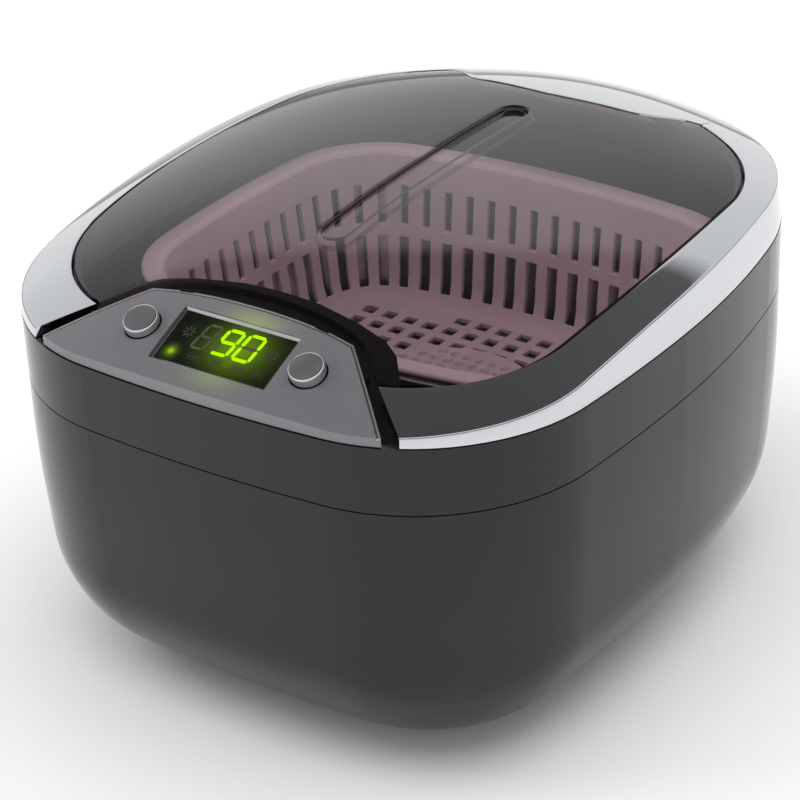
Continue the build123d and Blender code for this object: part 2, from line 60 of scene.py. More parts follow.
def half_arcs(p):
    """Right half of a plan outline, front to rear: (centre, radius, start angle, end angle)."""
    W, yw, yf, yr, rf, cf, sf, sr, cr, rr = p
    F, S, R, S2 = (0.0, yf + rf), (W - sf, yw), (0.0, yr - rr), (W - sr, yw)

    def meet(a, ra, b, rb):
        dx, dy = b[0] - a[0], b[1] - a[1]
        d = math.hypot(dx, dy)
        k = (ra * ra - rb * rb + d * d) / (2 * d)
        h = math.sqrt(max(ra * ra - k * k, 0.0))
        mx, my = a[0] + k * dx / d, a[1] + k * dy / d
        return [(mx + h * dy / d, my - h * dx / d), (mx - h * dy / d, my + h * dx / d)]

    C = max((q for q in meet(F, rf - cf, S, sf - cf) if q[1] < yw), key=lambda q: q[0])
    C2 = max((q for q in meet(R, rr - cr, S2, sr - cr) if q[1] > yw), key=lambda q: q[0])

    def ang(a, b):
        return math.atan2(b[1] - a[1], b[0] - a[0])

    a1, a2 = ang(F, C), ang(S, C)
    a3, a4 = ang(S2, C2), ang(R, C2)
    return [(F, rf, -math.pi / 2, a1), (C, cf, a1, a2), (S, sf, a2, 0.0), (S2, sr, 0.0, a3), (C2, cr, a3, a4),
            (R, rr, a4, math.pi / 2)]


def half(p, step=1.0):
    """Dense right half: (x, y, nx, ny)."""
    out = []
    for c, r, a0, a1 in half_arcs(p):
        n = max(6, int(r * (a1 - a0) / step), int((a1 - a0) / (1.5 * D2R)))
        for k in range(n):
            a = a0 + (a1 - a0) * k / n
            out.append((c[0] + r * math.cos(a), c[1] + r * math.sin(a), math.cos(a), math.sin(a)))
    c, r, a0, a1 = half_arcs(p)[-1]
    out.append((0.0, c[1] + r, 0.0, 1.0))
    return out


def full(p, step=1.0):
    h = half(p, step)
    return h + [(-x, y, -nx, ny) for x, y, nx, ny in reversed(h[1:-1])]


def resample(pts, n):
    d = [0.0]
    for a, b in zip(pts, pts[1:]):
        d.append(d[-1] + math.hypot(b[0] - a[0], b[1] - a[1]))
    out, j = [], 0
    for k in range(n):
        s = d[-1] * k / (n - 1)
        while j < len(d) - 2 and d[j + 1] < s:
            j += 1
        t = 0.0 if d[j + 1] == d[j] else (s - d[j]) / (d[j + 1] - d[j])
        out.append(tuple(u + (v - u) * t for u, v in zip(pts[j], pts[j + 1])))
    return out


def span(pts, start, end):
    """The stretch of a dense curve from the point nearest `start` to the one nearest `end`."""
    i = min(range(len(pts)), key=lambda k: (pts[k][0] - start[0]) ** 2 + (pts[k][1] - start[1]) ** 2)
    j = min(range(len(pts)), key=lambda k: (pts[k][0] - end[0]) ** 2 + (pts[k][1] - end[1]) ** 2)
    return pts[i:j + 1]


def to_m(p):
    return Vector((p[0] / 1000.0, p[1] / 1000.0, (p[2] + LIFT) / 1000.0))


def panel(x, v, h):
    return (x, PO[1] + v * math.cos(PT) - h * math.sin(PT), PO[2] + v * math.sin(PT) + h * math.cos(PT))


def new_object(name, verts, faces, mat, smooth=True, sharp=38.0):
    me = bpy.data.meshes.new(name)
    me.from_pydata([to_m(v) for v in verts], [], faces)
    me.update()
    bm = bmesh.new()
    bm.from_mesh(me)
    bmesh.ops.remove_doubles(bm, verts=bm.verts, dist=1e-7)
    bmesh.ops.recalc_face_normals(bm, faces=bm.faces)
    for f in bm.faces:
        f.smooth = smooth
    if smooth:
        for e in bm.edges:
            if len(e.link_faces) == 2 and e.calc_face_angle(0.0) > sharp * D2R:
                e.smooth = False
    bm.to_mesh(me)
    bm.free()
    me.materials.append(mat)
    ob = bpy.data.objects.new(name, me)
    bpy.context.scene.collection.objects.link(ob)
    return ob


def grid_faces(rows, cols, closed=False, off=0):
    out = []
    for i in range(rows - 1):
        for j in range(cols if closed else cols - 1):
            k = (j + 1) % cols
            out.append((off + i * cols + j, off + i * cols + k, off + (i + 1) * cols + k, off + (i + 1) * cols + j))
    return out


# ---------------------------------------------------------------- materials
def material(name):
    m = bpy.data.materials.new(name)
    m.use_nodes = True
    nt = m.node_tree
    for n in list(nt.nodes):
        nt.nodes.remove(n)
    out = nt.nodes.new("ShaderNodeOutputMaterial")
    return m, nt, out


def node(nt, kind, **kw):
    n = nt.nodes.new(kind)
    for k, v in kw.items():
        if k == "inp":
            for a, b in v.items():
                n.inputs[a].default_value = b
        else:
            setattr(n, k, v)
    return n


def link(nt, a, b):
    nt.links.new(a, b)


def noise(nt, scale, detail=4.0, rough=0.5, stretch=None):
    tc = node(nt, "ShaderNodeTexCoord")
    src = tc.outputs["Object"]
    if stretch:
        mp = node(nt, "ShaderNodeMapping")
        mp.inputs["Scale"].default_value = stretch
        link(nt, src, mp.inputs["Vector"])
        src = mp.outputs["Vector"]
    n = node(nt, "ShaderNodeTexNoise", inp={"Scale": scale, "Detail": detail, "Roughness": rough})
    link(nt, src, n.inputs["Vector"])
    return n.outputs["Fac"]


def ramp(nt, fac, stops):
    r = node(nt, "ShaderNodeValToRGB")
    el = r.color_ramp.elements
    while len(el) < len(stops):
        el.new(0.5)
    for e, (pos, col) in zip(el, stops):
        e.position = pos
        e.color = (*col, 1.0) if len(col) == 3 else col
    link(nt, fac, r.inputs["Fac"])
    return r.outputs["Color"]


def spread(nt, fac, lo, hi):
    mr = node(nt, "ShaderNodeMapRange", inp={"To Min": lo, "To Max": hi})
    link(nt, fac, mr.inputs["Value"])
    return mr.outputs["Result"]


def bump(nt, height, strength, distance):
    b = node(nt, "ShaderNodeBump", inp={"Strength": strength, "Distance": distance})
    link(nt, height, b.inputs["Height"])
    return b.outputs["Normal"]


def surface(name, c0, c1, r0, r1, metallic=0.0, scale=60.0, grain=900.0, strength=0.05, depth=0.00003, coat=0.0,
            ior=1.5, stretch=None):
    """A moulded or machined surface: colour and roughness drift slowly, and a fine grain gives relief."""
    m, nt, out = material(name)
    b = node(nt, "ShaderNodeBsdfPrincipled", inp={"Metallic": metallic, "IOR": ior})
    if coat:
        b.inputs["Coat Weight"].default_value = coat
        b.inputs["Coat Roughness"].default_value = 0.04
    slow, fine = noise(nt, scale, 5.0), noise(nt, grain, 3.0, 0.6, stretch)
    link(nt, ramp(nt, slow, [(0.3, c0), (0.7, c1)]), b.inputs["Base Color"])
    link(nt, spread(nt, slow, r0, r1), b.inputs["Roughness"])
    link(nt, bump(nt, fine, strength, depth), b.inputs["Normal"])
    link(nt, b.outputs["BSDF"], out.inputs["Surface"])
    return m


BLACK = surface("black_gloss_plastic", (0.0052, 0.0052, 0.0054), (0.0068, 0.0068, 0.007), 0.10, 0.17, scale=14.0,
                grain=500.0, strength=0.004, depth=0.00001, ior=1.45)
BLACK_SATIN = surface("black_satin_plastic", (0.010, 0.010, 0.010), (0.016, 0.016, 0.016), 0.26, 0.34, scale=30.0,
                      grain=900.0, strength=0.01, depth=0.00001)
CHROME = surface("bright_chrome", (0.60, 0.612, 0.63), (0.64, 0.65, 0.665), 0.025, 0.06, metallic=1.0, scale=9.0,
                 grain=350.0, strength=0.02, depth=0.00001)
BUTTON_TOP = surface("button_top", (0.14, 0.14, 0.145), (0.18, 0.18, 0.185), 0.34, 0.42, metallic=0.55, scale=300.0,
                     grain=2500.0, strength=0.12, depth=0.00001)
STEEL = surface("tank_steel", (0.50, 0.50, 0.51), (0.62, 0.62, 0.63), 0.22, 0.34, metallic=1.0, scale=25.0,
                grain=700.0, strength=0.12, depth=0.00002, stretch=(1, 1, 12))
FIXING = surface("plated_steel", (0.45, 0.45, 0.46), (0.58, 0.58, 0.57), 0.25, 0.4, metallic=1.0)
ALU = surface("machined_aluminium", (0.62, 0.62, 0.64), (0.74, 0.74, 0.75), 0.28, 0.42, metallic=1.0, stretch=(1, 1, 20))
BRASS = surface("brass", (0.62, 0.46, 0.20), (0.72, 0.55, 0.26), 0.22, 0.36, metallic=1.0)
RUBBER = surface("black_rubber", (0.016, 0.016, 0.016), (0.028, 0.028, 0.027), 0.62, 0.8, grain=1800.0, strength=0.4,
                 depth=0.00004)
CERAMIC = surface("piezo_ceramic", (0.45, 0.41, 0.33), (0.55, 0.5, 0.41), 0.5, 0.62)
BOARD = surface("circuit_board", (0.015, 0.09, 0.035), (0.025, 0.13, 0.05), 0.3, 0.45, scale=220.0)
CORE = surface("transformer_core", (0.05, 0.04, 0.03), (0.09, 0.075, 0.055), 0.4, 0.6, grain=500.0, strength=0.5,
               depth=0.0002, stretch=(1, 1, 30))
SLEEVE = surface("capacitor_sleeve", (0.015, 0.018, 0.045), (0.02, 0.025, 0.06), 0.25, 0.38)
BASKET = surface("basket_plastic", (0.56, 0.488, 0.505), (0.62, 0.545, 0.562), 0.36, 0.5, scale=40.0, grain=1500.0,
                 strength=0.12, depth=0.00003)


def panel_coords(nt):
    """x and v of the control panel's plane, in mm."""
    tc = node(nt, "ShaderNodeTexCoord")
    sub = node(nt, "ShaderNodeVectorMath", operation="SUBTRACT")
    sub.inputs[1].default_value = to_m(PO)
    link(nt, tc.outputs["Object"], sub.inputs[0])
    res = []
    for axis in ((1000.0, 0, 0), (0, 1000.0 * math.cos(PT), 1000.0 * math.sin(PT))):
        d = node(nt, "ShaderNodeVectorMath", operation="DOT_PRODUCT")
        d.inputs[1].default_value = axis
        link(nt, sub.outputs[0], d.inputs[0])
        res.append(d.outputs["Value"])
    return res


def math_node(nt, op, a, b=None, clamp=False):
    n = node(nt, "ShaderNodeMath", operation=op, use_clamp=clamp)
    for i, v in enumerate((a, b)):
        if v is None:
            continue
        if isinstance(v, (int, float)):
            n.inputs[i].default_value = v
        else:
            link(nt, v, n.inputs[i])
    return n.outputs[0]


def glow(nt, x, v, cx, cv, sx, sv, amount):
    """amount * exp(-((x-cx)/sx)^2 - ((v-cv)/sv)^2)"""
    a = math_node(nt, "POWER", math_node(nt, "ABSOLUTE", math_node(nt, "DIVIDE", math_node(nt, "SUBTRACT", x, cx), sx)), 2.0)
    b = math_node(nt, "POWER", math_node(nt, "ABSOLUTE", math_node(nt, "DIVIDE", math_node(nt, "SUBTRACT", v, cv), sv)), 2.0)
    e = math_node(nt, "POWER", 2.71828, math_node(nt, "MULTIPLY", math_node(nt, "ADD", a, b), -1.0))
    return math_node(nt, "MULTIPLY", e, amount)


# silver paint of the control plate, with a painted green light spill round the display
def panel_paint_with_painted_glow():
    m, nt, out = material("silver_panel")
    b = node(nt, "ShaderNodeBsdfPrincipled", inp={"Metallic": 0.55, "IOR": 1.5})
    fine, slow = noise(nt, 3500.0, 2.0, 0.7), noise(nt, 30.0, 4.0)
    link(nt, ramp(nt, fine, [(0.25, (0.178, 0.17, 0.182)), (0.75, (0.265, 0.256, 0.272))]), b.inputs["Base Color"])
    link(nt, spread(nt, slow, 0.36, 0.44), b.inputs["Roughness"])
    link(nt, bump(nt, fine, 0.12, 0.00002), b.inputs["Normal"])
    # painted light: a faint green emission halo just above and just below the display opening stands for the display's
    # glow spilling onto the silver paint
    x, v = panel_coords(nt)
    g = math_node(nt, "ADD", glow(nt, x, v, 3.5, 9.6, 8.0, 4.2, 0.26), glow(nt, x, v, 2.5, -9.6, 7.5, 3.6, 0.16))
    e = node(nt, "ShaderNodeEmission")
    e.inputs["Color"].default_value = (0.42, 0.62, 0.03, 1)
    link(nt, g, e.inputs["Strength"])
    add = node(nt, "ShaderNodeAddShader")
    link(nt, b.outputs[0], add.inputs[0])
    link(nt, e.outputs[0], add.inputs[1])
    link(nt, add.outputs[0], out.inputs["Surface"])
    return m


def display_face():
    m, nt, out = material("display_face")
    b = node(nt, "ShaderNodeBsdfPrincipled", inp={"IOR": 1.33})
    slow = noise(nt, 400.0)
    link(nt, ramp(nt, slow, [(0.3, (0.004, 0.005, 0.003)), (0.7, (0.007, 0.008, 0.005))]), b.inputs["Base Color"])
    link(nt, spread(nt, slow, 0.10, 0.16), b.inputs["Roughness"])
    x, v = panel_coords(nt)
    g = math_node(nt, "ADD", glow(nt, x, v, 3.4, 1.2, 7.8, 6.6, 0.62), glow(nt, x, v, -13.9, -4.8, 1.7, 1.7, 0.55))
    g = math_node(nt, "ADD", g, glow(nt, x, v, -13.9, -4.8, 0.8, 0.8, 1.1))
    e = node(nt, "ShaderNodeEmission")
    e.inputs["Color"].default_value = (0.21, 0.38, 0.003, 1)
    link(nt, g, e.inputs["Strength"])
    add = node(nt, "ShaderNodeAddShader")
    link(nt, b.outputs[0], add.inputs[0])
    link(nt, e.outputs[0], add.inputs[1])
    link(nt, add.outputs[0], out.inputs["Surface"])
    return m


def lit(name, colour, strength, spreads=0.25):
    m, nt, out = material(name)
    e = node(nt, "ShaderNodeEmission")
    f = noise(nt, 900.0)
    link(nt, ramp(nt, f, [(0.3, tuple(c * (1 - spreads) for c in colour)), (0.7, colour)]), e.inputs["Color"])
    e.inputs["Strength"].default_value = strength
    link(nt, e.outputs[0], out.inputs["Surface"])
    return m


def smoked(name, c0, c1):
    m, nt, out = material(name)
    t = node(nt, "ShaderNodeBsdfTransparent")
    f = noise(nt, 12.0)
    link(nt, ramp(nt, f, [(0.3, c0), (0.7, c1)]), t.inputs["Color"])
    g = node(nt, "ShaderNodeBsdfGlossy")
    g.inputs["Color"].default_value = (0.96, 0.96, 0.98, 1)
    link(nt, spread(nt, f, 0.03, 0.06), g.inputs["Roughness"])
    fr = node(nt, "ShaderNodeFresnel", inp={"IOR": 1.52})
    geo = node(nt, "ShaderNodeNewGeometry")
    front = math_node(nt, "SUBTRACT", 1.0, geo.outputs["Backfacing"])
    mix = node(nt, "ShaderNodeMixShader")
    link(nt, math_node(nt, "MULTIPLY", fr.outputs[0], front), mix.inputs[0])
    link(nt, t.outputs[0], mix.inputs[1])
    link(nt, g.outputs[0], mix.inputs[2])
    link(nt, mix.outputs[0], out.inputs["Surface"])
    return m


PANEL_PAINT_AND_SPILL_GLOW, DISPLAY = panel_paint_with_painted_glow(), display_face()
SMOKED = smoked("smoked_window", (0.80, 0.745, 0.765), (0.82, 0.765, 0.785))
# painted shade: the groove's steep walls get a far darker tint than the rest of the same window, standing for the shade
# inside the pressed groove
SMOKED_GROOVE_SHADE = smoked("groove_wall_painted_shade", (0.10, 0.09, 0.095), (0.14, 0.125, 0.13))
DIGIT_ON = lit("segments_lit", (0.46, 1.0, 0.0), 1.25)
DIGIT_OFF = surface("segments_off", (0.042, 0.044, 0.026), (0.060, 0.062, 0.036), 0.3, 0.45, scale=600.0)
ICON_OFF = surface("icons_off", (0.024, 0.027, 0.016), (0.034, 0.036, 0.022), 0.3, 0.45, scale=600.0)

FINISH = {
    "lower_housing": BLACK, "upper_housing": BLACK, "lid_frame": BLACK_SATIN, "tank": STEEL, "tank_gasket": RUBBER,
    "rubber_feet": RUBBER, "transducer_front_mass": ALU, "transducer_back_mass": FIXING, "electrode_rings": BRASS,
    "piezo_rings": CERAMIC, "transducer_bolt": FIXING, "driver_board": BOARD, "board_screws": FIXING,
    "transformer": CORE, "heat_sink": ALU, "power_transistors": BLACK_SATIN, "capacitors": SLEEVE,
    "control_panel": PANEL_PAINT_AND_SPILL_GLOW, "display_lens": DISPLAY, "lcd_module": BLACK_SATIN, "display_board": BOARD,
    "display_screws": FIXING, "tact_switches": BLACK_SATIN, "on_off_button": CHROME, "set_button": CHROME,
    "power_inlet": BLACK_SATIN, "inlet_pins": BRASS, "housing_screws": FIXING, "hinge_pins": FIXING,
    "lid_trim_right": CHROME, "lid_trim_left": CHROME, "hinge_cover": CHROME, "lid_window": SMOKED, "basket": BASKET,
}
for name, ob in NODES.items():
    m = FINISH[name]
    if ob.material_slots:
        for s in ob.material_slots:
            s.material = m
    else:
        ob.data.materials.append(m)


def settle(ob, body, slot, *nodes):
    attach(ob, body)
    if nodes:
        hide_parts(*nodes)
    return ob


# ---------------------------------------------------------------- chrome trims and hinge cover
def strip(name, outer, inner, low, mat, z_low=None, n_top=10):
    """Outer wall, rounded crease and domed top between an outline stretch and an inner edge; closed underneath.
    outer: (x, y, nx, ny); inner: (x, y); low(x, y): height of the lower edge."""
    rows = []
    for (x, y, nx, ny), (wx, wy) in zip(outer, inner):
        z0 = low(x, y)
        d = 1.6
        for _ in range(4):
            d = 3.8 / 32.0 * (dome_z(x - nx * d, y - ny * d) - Z_LID)
        zc = dome_z(x - nx * d, y - ny * d)

        def wall(z):
            dd = 3.8 / 32.0 * (z - Z_LID)
            return (x - nx * dd, y - ny * dd, z)

        cx, cy = x - nx * d, y - ny * d
        L = math.hypot(wx - cx, wy - cy)
        ux, uy = (wx - cx) / L, (wy - cy) / L

        def top(s, drop=0.0):
            px, py = cx + ux * s, cy + uy * s
            return (px, py, dome_z(px, py) - drop)

        b = wall(z0)
        prof = [(b[0] - nx * 1.7, b[1] - ny * 1.7, z0 + 0.9), (b[0] - nx * 1.5, b[1] - ny * 1.5, z0 + 0.05),
                (b[0] - nx * 0.45, b[1] - ny * 0.45, z0), (b[0] - nx * 0.12, b[1] - ny * 0.12, z0 + 0.12), wall(z0 + 0.45)]
        zt = zc - 0.34
        for k in (1, 2, 3, 4):
            prof.append(wall(z0 + 0.45 + (zt - z0 - 0.45) * k / 4))
        # a fine step between the wall and the top face
        w0 = wall(zc - 0.12)
        prof += [(w0[0] + ux * 0.03, w0[1] + uy * 0.03, w0[2]), top(0.10, 0.14), top(0.15, 0.42), top(0.25, 0.42), top(0.31, 0.08),
                 top(0.42, 0.02)]
        for k in range(n_top + 1):
            prof.append(top(0.75 + (L - 0.75 - 0.5) * k / n_top))
        prof += [top(L - 0.2, 0.06), top(L - 0.03, 0.25), (wx, wy, dome_z(wx, wy) - 0.6), (wx, wy, dome_z(wx, wy) - 2.0),
                 (wx - ux * 1.5, wy - uy * 1.5, dome_z(wx, wy) - 2.05)]
        rows.append(prof)
    cols = len(rows[0])
    verts = [p for r in rows for p in r]
    faces = grid_faces(len(rows), cols)
    faces.append(tuple(range(cols)))
    faces.append(tuple((len(rows) - 1) * cols + k for k in reversed(range(cols))))
    # underside between the first and last point of each profile
    for i in range(len(rows) - 1):
        faces.append((i * cols, (i + 1) * cols, (i + 1) * cols + cols - 1, i * cols + cols - 1))
    return new_object(name, verts, faces, mat)


H_BASE, H_WIN = half(BASE, 0.7), half(WIN, 0.7)
out_r = resample(span(H_BASE, (57.2, -97.0), (42.65, 102.6)), 190)
in_r = [p[:2] for p in resample(span(H_WIN, (44.6, -86.2), (42.65, 80.0)), 190)]
JOINT_X = 42.65
fix = lambda seq, x: seq[:-1] + [(x,) + tuple(seq[-1][1:])]
out_r, in_r = fix(out_r, JOINT_X), fix(in_r, JOINT_X)


def trim_low(x, y):
    return Z_LID


for side, sx in (("right", 1), ("left", -1)):
    o = [(sx * x, y, sx * nx, ny) for x, y, nx, ny in out_r]
    i = [(sx * x, y) for x, y in in_r]
    settle(strip(f"trim_{side}", o, i, trim_low, CHROME), "lid", "trim_chrome", f"lid_trim_{side}")

COV_IN = [(0.0, 64.4), (8.0, 65.0), (19.4, 66.6), (27.6, 67.5), (32.4, 71.0), (37.4, 76.5), (42.5, 78.6)]


def smooth_line(pts, n, passes=40):
    q = resample(pts, n)
    for _ in range(passes):
        q = [q[0]] + [tuple((a + 2 * b + c) / 4 for a, b, c in zip(q[k - 1], q[k], q[k + 1])) for k in range(1, n - 1)] + [q[-1]]
    return q


cov_out = resample(span(H_BASE, (42.35, 102.6), (0.0, 104.5)), 90)
cov_out = [(42.4,) + tuple(cov_out[0][1:])] + cov_out[1:]
cov_in = list(reversed(smooth_line(COV_IN, 90)))
cov_in[0] = (42.4, cov_in[0][1])
co = cov_out + [(-x, y, -nx, ny) for x, y, nx, ny in reversed(cov_out[:-1])]
ci = cov_in + [(-x, y) for x, y in reversed(cov_in[:-1])]


def cover_low(x, y):
    t = min(1.0, max(0.0, (abs(x) - 37.2) / 0.9))
    return 106.3 * (1 - t) + Z_LID * t


settle(strip("cover_rear", co, ci, cover_low, CHROME, n_top=22), "lid", "trim_chrome", "hinge_cover")

# ---------------------------------------------------------------- smoked window with its pressed groove
CUT_IN = [(0.0, -71.6), (6.5, -71.7), (21.4, -73.2), (30.3, -75.5), (34.9, -77.3), (44.6, -86.6)]
front_edge = smooth_line(CUT_IN, 70, 12)
side_edge = [(x - nx * 0.9, y - ny * 0.9) for x, y, nx, ny in resample(span(H_WIN, (45.6, -86.9), (42.6, 80.0)), 210)]
back_edge = []
for k, (x, y) in enumerate(cov_in):
    back_edge.append((x * 0.985, y - 0.9))
rim = front_edge[:-1] + side_edge + back_edge[4:]
rim = resample(rim, 360)
rim = rim + [(-x, y) for x, y in reversed(rim[1:-1])]
N = len(rim)


def capsule(w, y0, y1, n):
    """Closed capsule outline, n points, starting at the front centre and going right."""
    r = w / 2.0
    pts = []
    for k in range(400):
        pts.append((r * math.sin(math.pi / 2 * k / 400), y0 + r - r * math.cos(math.pi / 2 * k / 400)))
    pts.append((r, y1 - r))
    for k in range(1, 401):
        pts.append((r * math.cos(math.pi / 2 * k / 400), y1 - r + r * math.sin(math.pi / 2 * k / 400)))
    h = resample(pts, n // 2 + 1)
    return h + [(-x, y) for x, y in reversed(h[1:-1])]


GY0, GY1, GW = -44.5, 50.0, 7.6


def window_rows(drop, groove):
    rows = []
    cap = capsule(GW + 2.4, GY0 - 1.2, GY1 + 1.2, N)
    M = 26
    for k in range(M + 1):
        t = k / M
        rows.append([((1 - t) * rx + t * gx, (1 - t) * ry + t * gy, None) for (rx, ry), (gx, gy) in zip(rim, cap)])
    rows = [[(x, y, dome_z(x, y) - drop) for x, y, _ in r] for r in rows]
    for grow, dz in groove:
        c = capsule(GW + grow, GY0 - grow / 2, GY1 + grow / 2, N)
        rows.append([(x, y, dome_z(x, y) - dz) for x, y in c])
    last = rows[-1]
    rows.append([(x * 0.5, y, dome_z(x, y) - groove[-1][1]) for x, y, _ in last])
    rows.append([(0.0, y, dome_z(0, y) - groove[-1][1]) for x, y, _ in last])
    return rows


upper = window_rows(0.25, [(1.6, 0.28), (1.0, 0.42), (0.55, 0.72), (0.3, 1.1), (0.1, 1.5), (-0.3, 1.78), (-1.2, 1.93), (-2.4, 1.95)])
lower = window_rows(2.4, [(4.3, 2.6), (3.9, 3.3), (3.3, 3.85), (2.2, 4.05)])
verts = [p for r in upper for p in r] + [p for r in lower for p in r]
faces = grid_faces(len(upper), N, True) + [tuple(reversed(f)) for f in grid_faces(len(lower), N, True, len(upper) * N)]
for j in range(N):
    k = (j + 1) % N
    faces.append((j, len(upper) * N + j, len(upper) * N + k, k))
win = new_object("window_smoked", verts, faces, SMOKED)
win.data.materials.append(SMOKED_GROOVE_SHADE)
# faces on the groove's steep walls take the painted-shade tint (second material slot)
for f in win.data.polygons:
    c = f.center * 1000.0
    drop = dome_z(c.x, c.y) + LIFT - c.z
    if abs(c.x) < GW / 2 + 1.0 and GY0 - 1.0 < c.y < GY1 + 1.0 and abs(f.normal.z) < 0.75 and 0.3 < drop < 2.3:
        f.material_index = 1
settle(win, "lid", "smoked_window", "lid_window")

# ---------------------------------------------------------------- basket: slotted wall, latticed floor, dimpled plateau
TANK = (73.0, 2.0, -54.5, 66.5, 300.0, 30.0, 350.0, 350.0, 30.0, 300.0)


def cell_shell(O, I, solid, closed):
    """Closed mesh from two matching point grids; solid(i, j) says which cells are material."""
    R, C = len(O), len(O[0])
    verts = [p for r in O for p in r] + [p for r in I for p in r]
    base = R * C
    cc = C if closed else C - 1
    faces = []

    def v(i, j, k):
        return k * base + i * C + (j % C)

    def full_cell(i, j):
        if not (0 <= i < R - 1):
            return False
        if closed:
            j %= C
        elif not (0 <= j < C - 1):
            return False
        return solid(i, j)

    for i in range(R - 1):
        for j in range(cc):
            if not full_cell(i, j):
                continue
            faces.append((v(i, j, 0), v(i, j + 1, 0), v(i + 1, j + 1, 0), v(i + 1, j, 0)))
            faces.append((v(i, j, 1), v(i + 1, j, 1), v(i + 1, j + 1, 1), v(i, j + 1, 1)))
            if not full_cell(i - 1, j):
                faces.append((v(i, j, 0), v(i, j, 1), v(i, j + 1, 1), v(i, j + 1, 0)))
            if not full_cell(i + 1, j):
                faces.append((v(i + 1, j, 0), v(i + 1, j + 1, 0), v(i + 1, j + 1, 1), v(i + 1, j, 1)))
            if not full_cell(i, j - 1):
                faces.append((v(i, j, 0), v(i + 1, j, 0), v(i + 1, j, 1), v(i, j, 1)))
            if not full_cell(i, j + 1):
                faces.append((v(i, j + 1, 0), v(i, j + 1, 1), v(i + 1, j + 1, 1), v(i + 1, j + 1, 0)))
    used = sorted({k for f in faces for k in f})
    remap = {k: n for n, k in enumerate(used)}
    return [verts[k] for k in used], [tuple(remap[k] for k in f) for f in faces]


def at_lengths(curve, lengths):
    d = [0.0]
    for a, b in zip(curve, curve[1:]):
        d.append(d[-1] + math.hypot(b[0] - a[0], b[1] - a[1]))
    out, j = [], 0
    for s in lengths:
        while j < len(d) - 2 and d[j + 1] < s:
            j += 1
        t = (s - d[j]) / (d[j + 1] - d[j])
        out.append(tuple(u + (v - u) * t for u, v in zip(curve[j], curve[j + 1])))
    return out


def soften(ob, width, segments=2, angle=40):
    b = ob.modifiers.new("edges", "BEVEL")
    b.width, b.segments, b.limit_method, b.angle_limit = width / 1000.0, segments, "ANGLE", angle * D2R
    b.harden_normals = False
    return ob


mid = [(x - nx * 4.5, y - ny * 4.5, x, y, nx, ny) for x, y, nx, ny in half(TANK, 0.4)]
S_HALF = sum(math.hypot(b[0] - a[0], b[1] - a[1]) for a, b in zip(mid, mid[1:]))
NS = round(S_HALF / 7.3)
PITCH = S_HALF / NS
cols_s, slot_col = [], []
for k in range(NS):
    c = (k + 0.5) * PITCH
    for a, is_slot in ((-PITCH / 2, 0), (-1.7, 1), (-1.2, 2), (0.0, 2), (1.2, 1), (1.7, 0)):
        cols_s.append(c + a)
        slot_col.append(is_slot)
right = at_lengths(mid, cols_s)
end = mid[-1]
wall_cols = [p[2:] for p in right] + [end[2:]]
slot_flags = slot_col[:]
# mirror: cell j on the right spans column j..j+1; on the left the order of columns and cells is reversed
mirrored = [(-x, y, -nx, ny) for x, y, nx, ny in reversed(wall_cols[1:-1])]
wall_cols_full = wall_cols + mirrored
slot_full = slot_flags + [slot_flags[j] for j in reversed(range(len(slot_flags)))]


FIL = 6.2


def prof_out(z):
    if z >= 62.0:
        pts = [(96.5, 2.0), (84.0, 3.0), (73.0, 4.4), (62.0, 6.0)]
        for (z1, a), (z0, b) in zip(pts, pts[1:]):
            if z >= z0:
                return a + (b - a) * (z1 - z) / (z1 - z0)
    s = min(1.0, (62.0 - z) / 13.5)
    return 6.0 + FIL * (1 - math.sqrt(max(0.0, 1 - s * s)))


levels = [95.4, 92.0, 88.5, 85.5, 82.4, 79.3, 76.2, 73.2, 71.3, 69.4, 66.3, 63.2, 60.1, 57.1]
O_rows, I_rows = [], []
for z in levels:
    d = prof_out(z)
    a = math.asin(min(1.0, max(0.0, (62.0 - z) / 13.5)))
    di, zi = (d + 1.8, z) if z >= 62 else (7.8 + (FIL - 1.0) * (1 - math.cos(a)), 62.0 - 11.7 * math.sin(a))
    O_rows.append([(x - nx * d, y - ny * d, z) for x, y, nx, ny in wall_cols_full])
    I_rows.append([(x - nx * di, y - ny * di, zi) for x, y, nx, ny in wall_cols_full])
for deg in (32, 44, 56, 68, 79, 90):
    a = deg * D2R
    d, z = 6.0 + FIL * (1 - math.cos(a)), 62.0 - 13.5 * math.sin(a)
    di, zi = 7.8 + (FIL - 1.0) * (1 - math.cos(a)), 62.0 - 11.7 * math.sin(a)
    O_rows.append([(x - nx * d, y - ny * d, z) for x, y, nx, ny in wall_cols_full])
    I_rows.append([(x - nx * di, y - ny * di, zi) for x, y, nx, ny in wall_cols_full])
for d in (14.0, 14.9):
    O_rows.append([(x - nx * d, y - ny * d, 48.5) for x, y, nx, ny in wall_cols_full])
    I_rows.append([(x - nx * d, y - ny * d, 50.3) for x, y, nx, ny in wall_cols_full])
high_rows, low_rows = set(range(3, 7)), set(range(9, 15))
bv, bf = cell_shell(O_rows, I_rows, lambda i, j: not ((i in high_rows and slot_full[j] == 2) or (i in low_rows and slot_full[j] >= 1)), True)
wall_ob = soften(new_object("basket_wall", bv, bf, BASKET, sharp=50), 0.32)
settle(wall_ob, "basket", "basket_plastic", "basket")

